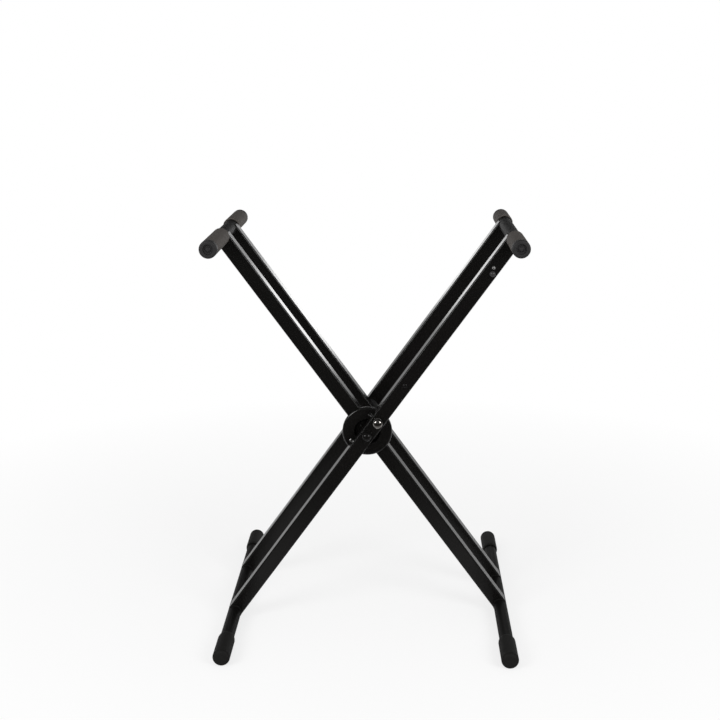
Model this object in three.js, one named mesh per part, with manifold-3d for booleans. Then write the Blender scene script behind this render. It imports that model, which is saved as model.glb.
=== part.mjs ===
// Folding keyboard stand: two crossed legs, each a pair of square tubes, joined by one pivot bolt.
// Millimetres, +Z up, front towards -Y. The origin is on the floor under the middle of the stand.
import * as THREE from "three";
import { mergeVertices } from "three/addons/utils/BufferGeometryUtils.js";
import Module from "manifold-3d";

const wasm = await Module();
wasm.setup();

// Stance
const LEG_TILT_DEG = 54.25; // each leg above the floor, at the height that the lock holds
const UPPER_REACH = 498; // pivot to the axis of a support bar, along the leg
const LOWER_REACH = 486; // pivot to the axis of a base bar, along the leg
const TUBES_MIDDLE_Y = 11; // the tube pairs stand a little behind the middle of the bars

// Clearances
const SEAT_GAP = 0.3; // between pieces that touch
const SAME_CORNER = 1e-4; // corners closer than this are one
const DISC_RUNNING_GAP = 2.2; // between the index disc and the tube that swings past it

// Square tubes
const TUBE_SIDE = 30;
const TUBE_WALL = 2;
const TUBE_CORNER = 3;
const TUBE_CORNER_STEPS = 2;
const TUBE_END_SHORT = 1.5; // the walls stop this far short of the axis of the bar that they hold
const INNER_PAIR_CLEAR = 90.5; // free width between the two tubes of the inner leg
const HUB_GAP = 13; // between an inner tube and the outer tube next to it

// Round bars
const BAR_RADIUS = 14;
const BAR_WALL = 2;
const ROUND_SIDES = 24;

// Support bars, with their sleeves and end caps
const SUPPORT_HALF_LENGTH = 232;
const SLEEVE_RADIUS = 17.5;
const CAP_RADIUS = 17.5;
const CAP_LENGTH = 14;
const CAP_FLOOR = 5;
const CAP_NOSE = 3.5;

// Base bars, with a rubber boot on each end
const BASE_HALF_LENGTH = 309;
const BOOT_RADIUS = 17.3;
const BOOT_LENGTH = 84;
const BOOT_FLOOR = 6;
const BOOT_NOSE = 4.5;
const BOOT_SHOULDER = 7; // length over which the outside is drawn in to the mouth
const BOOT_LIP = 1.9; // wall at the mouth

// Pivot
const PIVOT_BOLT_RADIUS = 5;
const PIVOT_HEAD_RADIUS = 10;
const PIVOT_HEAD_HEIGHT = 8.5;
const WASHER_RADIUS = 13;
const WASHER_THICKNESS = 1.5;
const NUT_RADIUS = 9.5;
const NUT_THICKNESS = 9;
const NUT_SIDES = 6;
const BOLT_TIP = 2;
const BUSH_WALL = 2.7;
const SPACER_TUBE_WALL = 3.4;
const FRONT_THRUST_RADIUS = 11;
const REAR_THRUST_RADIUS = 20;

// Index disc, a dished plate fixed to the front tube of the inner leg
const DISC_RADIUS = 51.5;
const DISC_PLATE = 3;
const DISC_WELL_RADIUS = 27;
const DISC_WELL_SLOPE = 3;
const DISC_RIM_ROUND = 2.4;
const DISC_SKIRT_SHORT = 1.2;
const INDEX_CIRCLE_RADIUS = 38.5; // of the index holes, and of the lock pin
const INDEX_HOLE_RADIUS = 4;
const INDEX_STEP_DEG = 26.8;
const INDEX_STEPS_EACH_WAY = 1;
const DISC_SIDES = 48;
const WELL_RIVET = { circle: 14.9, turnDeg: -16.25, radius: 3, height: 1.6, shank: 1.5 };
const RIM_RIVET = { circle: 38.5, turnDeg: -83.25, radius: 3.4, height: 1.2, shank: 1.7 };

// Lock: a sprung pin with a domed pull head, through the front tube of the outer leg
const LOCK_PIN_RADIUS = 3.5;
const LOCK_PIN_POINT = 1; // chamfer at the tip
const LOCK_HEAD_RADIUS = 9.5;
const LOCK_HEAD_DOME = 7;
const LOCK_HEAD_SKIRT = 2.5;
const LOCK_HEAD_SOCKET = 5;
const LOCK_NECK_RADIUS = 6.5;
const LOCK_NECK_LENGTH = 9;
const LOCK_FLANGE_RADIUS = 8.6;
const LOCK_FLANGE_THICKNESS = 2;
const LOCK_BUSH_WALL = 2.2;
const LOCK_BUSH_INSIDE = 4;
const LOCK_CLIP_WALL = 2.4;
const LOCK_CLIP_THICKNESS = 1.5;
const LOCK_CLIP_FROM_BACK_WALL = 4;
const SPRING_WIRE_RADIUS = 0.45;
const SPRING_RADIUS = 5.1;
const SPRING_TURNS = 5;
const SPRING_STEPS_PER_TURN = 8;
const SPRING_WIRE_STEPS = 3;

// Small fittings on the front tube of the outer leg, placed along the leg and across it
const BUTTON_BELOW_SUPPORT = 80.2;
const RIVET_ABOVE_BUTTON = 11.2;
const BUTTON_ALONG = UPPER_REACH - BUTTON_BELOW_SUPPORT;
const TUBE_SCREW = { along: 132.8, across: 0, radius: 5, height: 3, shank: 2.5 };
const ANCHOR_BUTTON = { along: BUTTON_ALONG, across: 5.5, radius: 6.2, height: 5, shank: 2.2 };
const RIVET_ALONG = BUTTON_ALONG + RIVET_ABOVE_BUTTON;
const ANCHOR_RIVET = { along: RIVET_ALONG, across: 0, radius: 3.8, height: 2.6, shank: 1.8 };
const FITTING_GRIP = 3; // a fitting's shank reaches this far behind the tube's wall
const SMALL_SIDES = 12;
const HEAD_ARC_STEPS = 3;

// Worked out from the sizes above
const legTurn = THREE.MathUtils.degToRad(90 - LEG_TILT_DEG);
const halfFacet = Math.PI / ROUND_SIDES;
const baseAxisHeight = BOOT_RADIUS * Math.cos(halfFacet);
const pivotHeight = baseAxisHeight + LOWER_REACH * Math.cos(legTurn);
const innerNear = INNER_PAIR_CLEAR / 2;
const innerFar = innerNear + TUBE_SIDE;
const outerNear = innerFar + HUB_GAP;
const outerFar = outerNear + TUBE_SIDE;
const barBore = BAR_RADIUS + SEAT_GAP;
const boltBore = PIVOT_BOLT_RADIUS + SEAT_GAP;
const bushRadius = boltBore + BUSH_WALL;
const lockBore = LOCK_PIN_RADIUS + SEAT_GAP;
const lockBushRadius = lockBore + LOCK_BUSH_WALL;
const discBack = -innerFar - SEAT_GAP;
const discFront = -outerNear + DISC_RUNNING_GAP;
const wellFront = discBack - DISC_PLATE;

function finish(color, roughness, metalness) {
  return new THREE.MeshStandardMaterial({ color, roughness, metalness });
}

function addPart(parent, name, geometry, material) {
  const mesh = new THREE.Mesh(geometry, material);
  mesh.name = name;
  parent.add(mesh);
  return mesh;
}

// A closed mesh with shared corners and no empty triangles, as a solid that can be cut
function toSolid(geometry) {
  const bare = geometry.clone();
  bare.deleteAttribute("normal");
  bare.deleteAttribute("uv");
  const merged = mergeVertices(bare, SAME_CORNER);
  const corners = merged.index.array;
  const kept = [];
  for (let i = 0; i < corners.length; i += 3) {
    const [a, b, c] = [corners[i], corners[i + 1], corners[i + 2]];
    if (a !== b && b !== c && c !== a) kept.push(a, b, c);
  }
  const vertProperties = new Float32Array(merged.attributes.position.array);
  const triVerts = new Uint32Array(kept);
  return new wasm.Manifold(new wasm.Mesh({ numProp: 3, vertProperties, triVerts }));
}

function toGeometry(solid) {
  const mesh = solid.getMesh();
  const geometry = new THREE.BufferGeometry();
  geometry.setAttribute("position", new THREE.BufferAttribute(mesh.vertProperties, 3));
  geometry.setIndex(new THREE.BufferAttribute(mesh.triVerts, 1));
  geometry.computeVertexNormals();
  return geometry;
}

function cut(geometry, cutters) {
  return toGeometry(cutters.reduce((solid, cutter) => solid.subtract(toSolid(cutter)), toSolid(geometry)));
}

// A round piece about the Y axis from [radius, y] points, with flats at its top and bottom
function turned(points, sides = ROUND_SIDES) {
  const profile = points.map(([radius, y]) => new THREE.Vector2(radius, y));
  return toGeometry(toSolid(new THREE.LatheGeometry(profile, sides, Math.PI / sides)));
}

// A ring about the Y axis
function ring(bore, radius, yFront, yBack, sides = ROUND_SIDES) {
  return turned([[bore, yFront], [radius, yFront], [radius, yBack], [bore, yBack], [bore, yFront]], sides);
}

// A drill along Y, at a place across and along the leg
function drill(radius, yFront, yBack, across, along, sides = SMALL_SIDES) {
  const geometry = new THREE.CylinderGeometry(radius, radius, yBack - yFront, sides);
  geometry.rotateY(Math.PI / sides);
  geometry.translate(across, (yFront + yBack) / 2, along);
  return geometry;
}

// Quarter-round points from a flat nose at y = tip to the full radius
function nosePoints(radius, nose, tip, towards, steps) {
  const points = [];
  for (let i = 0; i <= steps; i += 1) {
    const turn = (i / steps) * (Math.PI / 2);
    points.push([radius - nose + nose * Math.sin(turn), tip + towards * (nose - nose * Math.cos(turn))]);
  }
  return points;
}

// Points of a low dome from its crown on the axis to its rim
function domePoints(radius, height, rimY, towards, steps) {
  const points = [];
  for (let i = 0; i <= steps; i += 1) {
    const turn = (i / steps) * (Math.PI / 2);
    points.push([radius * Math.sin(turn), rimY + towards * height * Math.cos(turn)]);
  }
  return points;
}

function roundedSquare(path, side, corner) {
  const half = side / 2;
  const mid = half - corner;
  path.moveTo(half, -mid);
  path.lineTo(half, mid);
  path.absarc(mid, mid, corner, 0, Math.PI / 2);
  path.lineTo(-mid, half);
  path.absarc(-mid, mid, corner, Math.PI / 2, Math.PI);
  path.lineTo(-half, -mid);
  path.absarc(-mid, -mid, corner, Math.PI, 1.5 * Math.PI);
  path.lineTo(mid, -half);
  path.absarc(mid, -mid, corner, 1.5 * Math.PI, 2 * Math.PI);
  return path;
}

// A leg's square tube along Z, with a saddle at each end for the bar that it is welded to
function legTube(yFront, turn, holes) {
  const section = roundedSquare(new THREE.Shape(), TUBE_SIDE, TUBE_CORNER);
  section.holes.push(roundedSquare(new THREE.Path(), TUBE_SIDE - 2 * TUBE_WALL, TUBE_CORNER - TUBE_WALL));
  const bottom = -(LOWER_REACH - TUBE_END_SHORT);
  const top = UPPER_REACH - TUBE_END_SHORT;
  const tube = new THREE.ExtrudeGeometry(section, {
    depth: top - bottom,
    bevelEnabled: false,
    curveSegments: TUBE_CORNER_STEPS,
  });
  tube.translate(0, yFront + TUBE_SIDE / 2, bottom);
  const saddles = [UPPER_REACH, -LOWER_REACH].map((along) => {
    const saddle = new THREE.CylinderGeometry(barBore, barBore, 2 * TUBE_SIDE, ROUND_SIDES);
    saddle.rotateY(halfFacet - turn);
    saddle.translate(0, yFront + TUBE_SIDE / 2, along);
    return saddle;
  });
  return cut(tube, [...saddles, ...holes]);
}

// A hole through both walls of a tube for something on the pivot axis
function pivotHole(radius, yFront) {
  return drill(radius, yFront - TUBE_WALL, yFront + TUBE_SIDE + TUBE_WALL, 0, 0, ROUND_SIDES);
}

const blackSteel = () => finish(0x0b0b0c, 0.28, 0.6);
const darkRubber = () => finish(0x2a2a2b, 0.75, 0);
const greyRubber = () => finish(0x4a494a, 0.7, 0);
const foam = () => finish(0x57534f, 0.85, 0);
const chrome = () => finish(0xd8d8da, 0.12, 1);
const zincSteel = () => finish(0x9a9a98, 0.35, 1);
const nylon = () => finish(0x1a1a1a, 0.5, 0);

// A support bar, its two sleeves and its two end caps; sleeves end at the tubes that carry the bar
function addSupport(leg, side, turn, sleeveEnd) {
  const support = new THREE.Group();
  support.position.z = UPPER_REACH;
  support.rotation.y = -turn;
  leg.add(support);
  const barEnd = SUPPORT_HALF_LENGTH - CAP_FLOOR - SEAT_GAP;
  const bar = ring(BAR_RADIUS - BAR_WALL, BAR_RADIUS, -barEnd, barEnd);
  addPart(support, `${side}_support_bar`, bar, blackSteel());
  for (const [end, sign] of [["front", -1], ["rear", 1]]) {
    const tip = sign * SUPPORT_HALF_LENGTH;
    const capMouth = tip - sign * CAP_LENGTH;
    const capFloor = tip - sign * CAP_FLOOR;
    const cap = turned(facing(sign, [
      [0, tip],
      ...nosePoints(CAP_RADIUS, CAP_NOSE, tip, -sign, HEAD_ARC_STEPS),
      [CAP_RADIUS, capMouth],
      [barBore, capMouth],
      [barBore, capFloor],
      [0, capFloor],
    ]));
    addPart(support, `${side}_support_${end}_cap`, cap, greyRubber());
    const sleeveOut = capMouth - sign * SEAT_GAP;
    const sleeveIn = TUBES_MIDDLE_Y + sign * (sleeveEnd + SEAT_GAP);
    const [low, high] = [Math.min(sleeveOut, sleeveIn), Math.max(sleeveOut, sleeveIn)];
    addPart(support, `${side}_support_${end}_sleeve`, ring(barBore, SLEEVE_RADIUS, low, high), foam());
  }
}

// Profiles are drawn from the tip; one whose tip faces +Y is read backwards, so that faces point out
function facing(sign, points) {
  return sign < 0 ? points : points.reverse();
}

// A base bar and its two rubber boots, on whose undersides the stand rests
function addBase(leg, side, turn) {
  const base = new THREE.Group();
  base.position.z = -LOWER_REACH;
  base.rotation.y = -turn;
  leg.add(base);
  const barEnd = BASE_HALF_LENGTH - BOOT_FLOOR - SEAT_GAP;
  addPart(base, `${side}_base_bar`, ring(BAR_RADIUS - BAR_WALL, BAR_RADIUS, -barEnd, barEnd), blackSteel());
  for (const [end, sign] of [["front", -1], ["rear", 1]]) {
    const tip = sign * BASE_HALF_LENGTH;
    const mouth = tip - sign * BOOT_LENGTH;
    const floor = tip - sign * BOOT_FLOOR;
    const boot = turned(facing(sign, [
      [0, tip],
      ...nosePoints(BOOT_RADIUS, BOOT_NOSE, tip, -sign, HEAD_ARC_STEPS),
      [BOOT_RADIUS, mouth + sign * BOOT_SHOULDER],
      [barBore + BOOT_LIP, mouth],
      [barBore, mouth],
      [barBore, floor],
      [0, floor],
    ]));
    addPart(base, `${side}_base_${end}_boot`, boot, darkRubber());
  }
}

// A domed head with a shank through the front wall of the outer front tube
function frontFitting(fitting) {
  const face = -outerFar - SEAT_GAP;
  const tail = -outerFar + TUBE_WALL + FITTING_GRIP;
  const geometry = turned([
    ...domePoints(fitting.radius, fitting.height, face, -1, HEAD_ARC_STEPS),
    [fitting.shank, face],
    [fitting.shank, tail],
    [0, tail],
  ], SMALL_SIDES);
  geometry.translate(fitting.across, TUBES_MIDDLE_Y, fitting.along);
  return geometry;
}

function fittingHole(fitting) {
  const yFront = TUBES_MIDDLE_Y - outerFar;
  const radius = fitting.shank + SEAT_GAP;
  return drill(radius, yFront - TUBE_WALL, yFront + 2 * TUBE_WALL, fitting.across, fitting.along);
}

// The outer leg stands from the lower left to the upper right, and carries the bolt and the lock
function buildOuterLeg() {
  const leg = new THREE.Group();
  leg.position.z = pivotHeight;
  leg.rotation.y = legTurn;
  const yFront = TUBES_MIDDLE_Y - outerFar;
  const yRear = TUBES_MIDDLE_Y + outerNear;
  const fittings = [TUBE_SCREW, ANCHOR_RIVET, ANCHOR_BUTTON];
  const frontHoles = [
    pivotHole(boltBore, yFront),
    drill(lockBushRadius + SEAT_GAP, yFront - TUBE_WALL, yFront + 2 * TUBE_WALL, 0, INDEX_CIRCLE_RADIUS),
    drill(lockBore, yFront + TUBE_WALL, yFront + TUBE_SIDE + TUBE_WALL, 0, INDEX_CIRCLE_RADIUS),
    ...fittings.map(fittingHole),
  ];
  addPart(leg, "outer_front_tube", legTube(yFront, legTurn, frontHoles), blackSteel());
  addPart(leg, "outer_rear_tube", legTube(yRear, legTurn, [pivotHole(boltBore, yRear)]), blackSteel());
  addPart(leg, "tube_screw", frontFitting(TUBE_SCREW), blackSteel());
  addPart(leg, "anchor_rivet", frontFitting(ANCHOR_RIVET), zincSteel());
  addPart(leg, "anchor_button", frontFitting(ANCHOR_BUTTON), greyRubber());
  addSupport(leg, "outer", legTurn, outerFar);
  addBase(leg, "outer", legTurn);
  addPivot(leg);
  addLock(leg);
  return leg;
}

// Bolt, washers, lock nut and the spacers that it clamps, all about the pivot axis
function addPivot(leg) {
  const pivot = new THREE.Group();
  pivot.position.y = TUBES_MIDDLE_Y;
  leg.add(pivot);
  const washerIn = outerFar + SEAT_GAP;
  const washerOut = washerIn + WASHER_THICKNESS;
  const headBack = -(washerOut + SEAT_GAP);
  const nutFront = washerOut + SEAT_GAP;
  const boltEnd = nutFront + NUT_THICKNESS + BOLT_TIP;
  const bolt = turned([
    ...domePoints(PIVOT_HEAD_RADIUS, PIVOT_HEAD_HEIGHT, headBack, -1, HEAD_ARC_STEPS),
    [PIVOT_BOLT_RADIUS, headBack],
    [PIVOT_BOLT_RADIUS, boltEnd],
    [0, boltEnd],
  ]);
  addPart(pivot, "pivot_bolt", bolt, blackSteel());
  addPart(pivot, "pivot_front_washer", ring(boltBore, WASHER_RADIUS, -washerOut, -washerIn), blackSteel());
  addPart(pivot, "pivot_rear_washer", ring(boltBore, WASHER_RADIUS, washerIn, washerOut), blackSteel());
  const nutBack = nutFront + NUT_THICKNESS;
  const nut = turned([[0, nutFront], [NUT_RADIUS, nutFront], [NUT_RADIUS, nutBack], [0, nutBack]], NUT_SIDES);
  const nutBore = drill(boltBore, nutFront - BOLT_TIP, nutBack + BOLT_TIP, 0, 0, ROUND_SIDES);
  addPart(pivot, "pivot_nut", cut(nut, [nutBore]), zincSteel());
  const thrustFront = -outerNear + SEAT_GAP;
  const thrustBack = wellFront - SEAT_GAP;
  const frontSpacer = ring(boltBore, FRONT_THRUST_RADIUS, thrustFront, thrustBack);
  addPart(pivot, "front_thrust_spacer", frontSpacer, nylon());
  const rearSpacer = ring(boltBore, REAR_THRUST_RADIUS, innerFar + SEAT_GAP, outerNear - SEAT_GAP);
  addPart(pivot, "rear_thrust_spacer", rearSpacer, nylon());
}

class CoilCurve extends THREE.Curve {
  constructor(radius, length, turns) {
    super();
    this.radius = radius;
    this.length = length;
    this.turns = turns;
  }

  getPoint(t, target = new THREE.Vector3()) {
    const turn = t * this.turns * 2 * Math.PI;
    return target.set(this.radius * Math.sin(turn), t * this.length, this.radius * Math.cos(turn));
  }
}

// The pin passes a flanged bush, its spring and the tube, and stops just short of the index disc
function addLock(leg) {
  const lock = new THREE.Group();
  lock.position.set(0, TUBES_MIDDLE_Y, INDEX_CIRCLE_RADIUS);
  leg.add(lock);
  const flangeBack = -outerFar - SEAT_GAP;
  const flangeFront = flangeBack - LOCK_FLANGE_THICKNESS;
  const bushBack = -outerFar + TUBE_WALL + LOCK_BUSH_INSIDE;
  const bush = turned([
    [lockBore, flangeFront],
    [LOCK_FLANGE_RADIUS, flangeFront],
    [LOCK_FLANGE_RADIUS, flangeBack],
    [lockBushRadius, flangeBack],
    [lockBushRadius, bushBack],
    [lockBore, bushBack],
    [lockBore, flangeFront],
  ], SMALL_SIDES);
  addPart(lock, "lock_bush", bush, zincSteel());

  const headBack = flangeFront - SEAT_GAP;
  const neckFront = headBack - LOCK_NECK_LENGTH;
  const socketEnd = headBack - LOCK_HEAD_SOCKET;
  const head = turned([
    ...domePoints(LOCK_HEAD_RADIUS, LOCK_HEAD_DOME, neckFront - LOCK_HEAD_SKIRT, -1, HEAD_ARC_STEPS),
    [LOCK_HEAD_RADIUS, neckFront],
    [LOCK_NECK_RADIUS, neckFront],
    [LOCK_NECK_RADIUS, headBack],
    [lockBore, headBack],
    [lockBore, socketEnd],
    [0, socketEnd],
  ]);
  addPart(lock, "lock_head", head, chrome());

  const pinFront = socketEnd + SEAT_GAP;
  const pinTip = discFront - SEAT_GAP;
  const pin = turned([
    [0, pinFront],
    [LOCK_PIN_RADIUS, pinFront],
    [LOCK_PIN_RADIUS, pinTip - LOCK_PIN_POINT],
    [LOCK_PIN_RADIUS - LOCK_PIN_POINT, pinTip],
    [0, pinTip],
  ], SMALL_SIDES);
  addPart(lock, "lock_pin", pin, zincSteel());

  const clipBack = -outerNear - TUBE_WALL - LOCK_CLIP_FROM_BACK_WALL;
  const clipFront = clipBack - LOCK_CLIP_THICKNESS;
  const clip = ring(lockBore, lockBore + LOCK_CLIP_WALL, clipFront, clipBack, SMALL_SIDES);
  addPart(lock, "lock_clip", clip, zincSteel());

  const springFront = bushBack + SEAT_GAP + SPRING_WIRE_RADIUS;
  const springLength = clipFront - SEAT_GAP - SPRING_WIRE_RADIUS - springFront;
  const wire = new THREE.Shape().absarc(0, 0, SPRING_WIRE_RADIUS, 0, 2 * Math.PI);
  const spring = new THREE.ExtrudeGeometry(wire, {
    steps: SPRING_TURNS * SPRING_STEPS_PER_TURN,
    curveSegments: SPRING_WIRE_STEPS,
    extrudePath: new CoilCurve(SPRING_RADIUS, springLength, SPRING_TURNS),
  });
  spring.translate(0, springFront, 0);
  addPart(lock, "lock_spring", toGeometry(toSolid(spring)), zincSteel());
}

// A place on the disc: turn is from the leg's upward direction towards +X, in degrees
function onDisc(radius, turnDeg) {
  const turn = THREE.MathUtils.degToRad(turnDeg);
  return [radius * Math.sin(turn), radius * Math.cos(turn)];
}

// A round-headed rivet through the disc, its head in front of a plate whose front is at plateFront
function addDiscRivet(hub, name, rivet, turnDeg, plateFront, material) {
  const face = plateFront - SEAT_GAP;
  const tail = plateFront + DISC_PLATE;
  const geometry = turned([
    ...domePoints(rivet.radius, rivet.height, face, -1, HEAD_ARC_STEPS),
    [rivet.shank, face],
    [rivet.shank, tail],
    [0, tail],
  ], SMALL_SIDES);
  const [x, z] = onDisc(rivet.circle, turnDeg);
  geometry.translate(x, 0, z);
  addPart(hub, name, geometry, material);
}

function discRivetHole(rivet, turnDeg) {
  return discDrill(rivet.shank + SEAT_GAP, rivet.circle, turnDeg);
}

// A drill through the whole depth of the disc
function discDrill(radius, circle, turnDeg) {
  const [x, z] = onDisc(circle, turnDeg);
  return drill(radius, discFront - DISC_PLATE, discBack + DISC_PLATE, x, z);
}

// Outer flange with index holes, a sunk well at the pivot, and a skirt turned back round the edge
function addIndexDisc(leg) {
  const hub = new THREE.Group();
  hub.position.y = TUBES_MIDDLE_Y;
  leg.add(hub);
  const flangeBack = discFront + DISC_PLATE;
  const wellEdge = DISC_WELL_RADIUS - DISC_WELL_SLOPE;
  const skirtEnd = discBack - DISC_SKIRT_SHORT;
  const profile = [
    [bushRadius, discBack],
    [bushRadius, wellFront],
    [wellEdge, wellFront],
    [DISC_WELL_RADIUS, discFront],
    ...nosePoints(DISC_RADIUS, DISC_RIM_ROUND, discFront, 1, HEAD_ARC_STEPS),
    [DISC_RADIUS, skirtEnd],
    [DISC_RADIUS - DISC_PLATE, skirtEnd],
    [DISC_RADIUS - DISC_PLATE, flangeBack],
    [DISC_WELL_RADIUS + DISC_PLATE, flangeBack],
    [wellEdge + DISC_PLATE, discBack],
    [bushRadius, discBack],
  ];
  const lockTurnDeg = THREE.MathUtils.radToDeg(2 * legTurn);
  const holes = [discRivetHole(RIM_RIVET, RIM_RIVET.turnDeg)];
  for (let step = -INDEX_STEPS_EACH_WAY; step <= INDEX_STEPS_EACH_WAY; step += 1) {
    holes.push(discDrill(INDEX_HOLE_RADIUS, INDEX_CIRCLE_RADIUS, lockTurnDeg - step * INDEX_STEP_DEG));
  }
  const wellTurns = [WELL_RIVET.turnDeg, WELL_RIVET.turnDeg + 180];
  holes.push(...wellTurns.map((turnDeg) => discRivetHole(WELL_RIVET, turnDeg)));
  addPart(hub, "index_disc", cut(turned(profile, DISC_SIDES), holes), blackSteel());
  wellTurns.forEach((turnDeg, i) => {
    addDiscRivet(hub, `well_rivet_${i + 1}`, WELL_RIVET, turnDeg, wellFront, blackSteel());
  });
  addDiscRivet(hub, "rim_rivet", RIM_RIVET, RIM_RIVET.turnDeg, discFront, chrome());
}

// The inner leg stands from the lower right to the upper left, between the tubes of the outer leg
function buildInnerLeg() {
  const leg = new THREE.Group();
  leg.position.z = pivotHeight;
  leg.rotation.y = -legTurn;
  const yFront = TUBES_MIDDLE_Y - innerFar;
  const yRear = TUBES_MIDDLE_Y + innerNear;
  const bushHole = bushRadius + SEAT_GAP;
  addPart(leg, "inner_front_tube", legTube(yFront, -legTurn, [pivotHole(bushHole, yFront)]), blackSteel());
  addPart(leg, "inner_rear_tube", legTube(yRear, -legTurn, [pivotHole(bushHole, yRear)]), blackSteel());
  addPart(leg, "front_pivot_bush", ring(boltBore, bushRadius, yFront, yFront + TUBE_SIDE), nylon());
  addPart(leg, "rear_pivot_bush", ring(boltBore, bushRadius, yRear, yRear + TUBE_SIDE), nylon());
  const spacerEnd = innerNear - SEAT_GAP;
  const spacer = ring(boltBore, boltBore + SPACER_TUBE_WALL, -spacerEnd, spacerEnd);
  spacer.translate(0, TUBES_MIDDLE_Y, 0);
  addPart(leg, "pivot_spacer_tube", spacer, blackSteel());
  addSupport(leg, "inner", -legTurn, innerFar);
  addBase(leg, "inner", -legTurn);
  addIndexDisc(leg);
  return leg;
}

const stand = new THREE.Group();
stand.name = "keyboard_stand";
stand.add(buildOuterLeg(), buildInnerLeg());

export default stand;
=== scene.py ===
import math
import bmesh
import bpy
from mathutils import Matrix, Vector


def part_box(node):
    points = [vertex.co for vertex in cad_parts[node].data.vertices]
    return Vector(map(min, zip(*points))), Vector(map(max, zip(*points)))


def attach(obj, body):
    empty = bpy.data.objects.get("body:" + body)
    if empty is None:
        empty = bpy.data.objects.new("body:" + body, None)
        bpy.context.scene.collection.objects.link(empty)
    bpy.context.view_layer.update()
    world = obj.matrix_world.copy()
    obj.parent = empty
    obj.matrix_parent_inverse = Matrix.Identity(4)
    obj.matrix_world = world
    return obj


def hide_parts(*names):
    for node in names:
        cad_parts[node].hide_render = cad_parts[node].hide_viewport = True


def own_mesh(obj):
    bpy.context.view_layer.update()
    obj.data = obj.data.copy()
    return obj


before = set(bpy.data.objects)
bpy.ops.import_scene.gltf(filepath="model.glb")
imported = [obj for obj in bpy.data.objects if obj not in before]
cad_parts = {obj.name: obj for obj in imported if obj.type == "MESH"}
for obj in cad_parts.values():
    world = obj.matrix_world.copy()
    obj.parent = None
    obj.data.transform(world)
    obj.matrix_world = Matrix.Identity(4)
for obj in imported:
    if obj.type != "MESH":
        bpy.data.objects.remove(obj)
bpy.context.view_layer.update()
scene = bpy.context.scene
scene.view_settings.view_transform = "Standard"


# ---- Camera -------------------------------------------------------------------------------------
# It stands in front of the stand and a little above the support bars, and looks slightly down.
# Its lens and turn come from a fit to the crossing tubes, the bars, the caps and the boots.
PHOTO_SIDE = 720
FOCAL_PIXELS = 1170.2
SENSOR_MM = 36
CAMERA_PLACE = Vector((0.0644, -2.3797, 1.1589))
CAMERA_PITCH, CAMERA_YAW, CAMERA_ROLL = map(math.radians, (14.455, 1.947, -0.368))

forward = Vector((
    -math.sin(CAMERA_YAW) * math.cos(CAMERA_PITCH),
    math.cos(CAMERA_YAW) * math.cos(CAMERA_PITCH),
    -math.sin(CAMERA_PITCH),
))
level_right = Vector((math.cos(CAMERA_YAW), math.sin(CAMERA_YAW), 0))
level_up = level_right.cross(forward)
camera_right = level_right * math.cos(CAMERA_ROLL) + level_up * math.sin(CAMERA_ROLL)
camera_up = level_up * math.cos(CAMERA_ROLL) - level_right * math.sin(CAMERA_ROLL)
camera = bpy.data.objects.new("camera", bpy.data.cameras.new("camera"))
camera.matrix_world = Matrix.Translation(CAMERA_PLACE) @ Matrix(
    (camera_right, camera_up, -forward)).transposed().to_4x4()
camera.data.sensor_width = SENSOR_MM
camera.data.lens = FOCAL_PIXELS / PHOTO_SIDE * SENSOR_MM
scene.collection.objects.link(camera)
scene.camera = camera


# ---- Studio -------------------------------------------------------------------------------------
# A wide pale floor and a low white backdrop, with a soft box at each side of the front and two low
# ones behind. In reflections the room and the floor in front are dim, as where only a set is lit.
class Value:
    """A number, colour or vector that a node gives; sums of numbers add their Math nodes."""

    def __init__(self, finish, socket):
        self.finish = finish
        self.socket = socket

    def sum(self, operation, first, second):
        return self.finish.add("ShaderNodeMath", {0: first, 1: second}, operation=operation)

    def __add__(self, other):
        return self.sum("ADD", self, other)

    def __radd__(self, other):
        return self.sum("ADD", other, self)

    def __sub__(self, other):
        return self.sum("SUBTRACT", self, other)

    def __rsub__(self, other):
        return self.sum("SUBTRACT", other, self)

    def __mul__(self, other):
        return self.sum("MULTIPLY", self, other)

    def __rmul__(self, other):
        return self.sum("MULTIPLY", other, self)

    def most(self, other):
        return self.sum("MAXIMUM", self, other)


class Finish:
    """A material or world whose nodes are added one at a time."""

    def __init__(self, owner):
        owner.use_nodes = True
        self.owner = owner
        self.tree = owner.node_tree
        self.tree.nodes.clear()

    def add(self, kind, sockets, out=0, stops=(), **settings):
        """A node: its settings and stops are set first, then its sockets' values or links."""
        node = self.tree.nodes.new(kind)
        for name, setting in settings.items():
            setattr(node, name, setting)
        for stop, (place, grey) in zip(node.color_ramp.elements if stops else (), stops):
            stop.position = place
            stop.color = (grey, grey, grey, 1)
        for name, given in sockets.items():
            if isinstance(given, Value):
                self.tree.links.new(given.socket, node.inputs[name])
            else:
                node.inputs[name].default_value = given
        return Value(self, node.outputs[out]) if len(node.outputs) else node

    def noise(self, coords, scale, detail, roughness=0.5):
        return self.add("ShaderNodeTexNoise", {
            "Vector": coords, "Scale": scale, "Detail": detail, "Roughness": roughness})

    def blend(self, factor, first, second):
        """A colour between two, by a factor."""
        return self.add("ShaderNodeMix", {0: factor, 6: first, 7: second}, out=2, data_type="RGBA")


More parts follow.
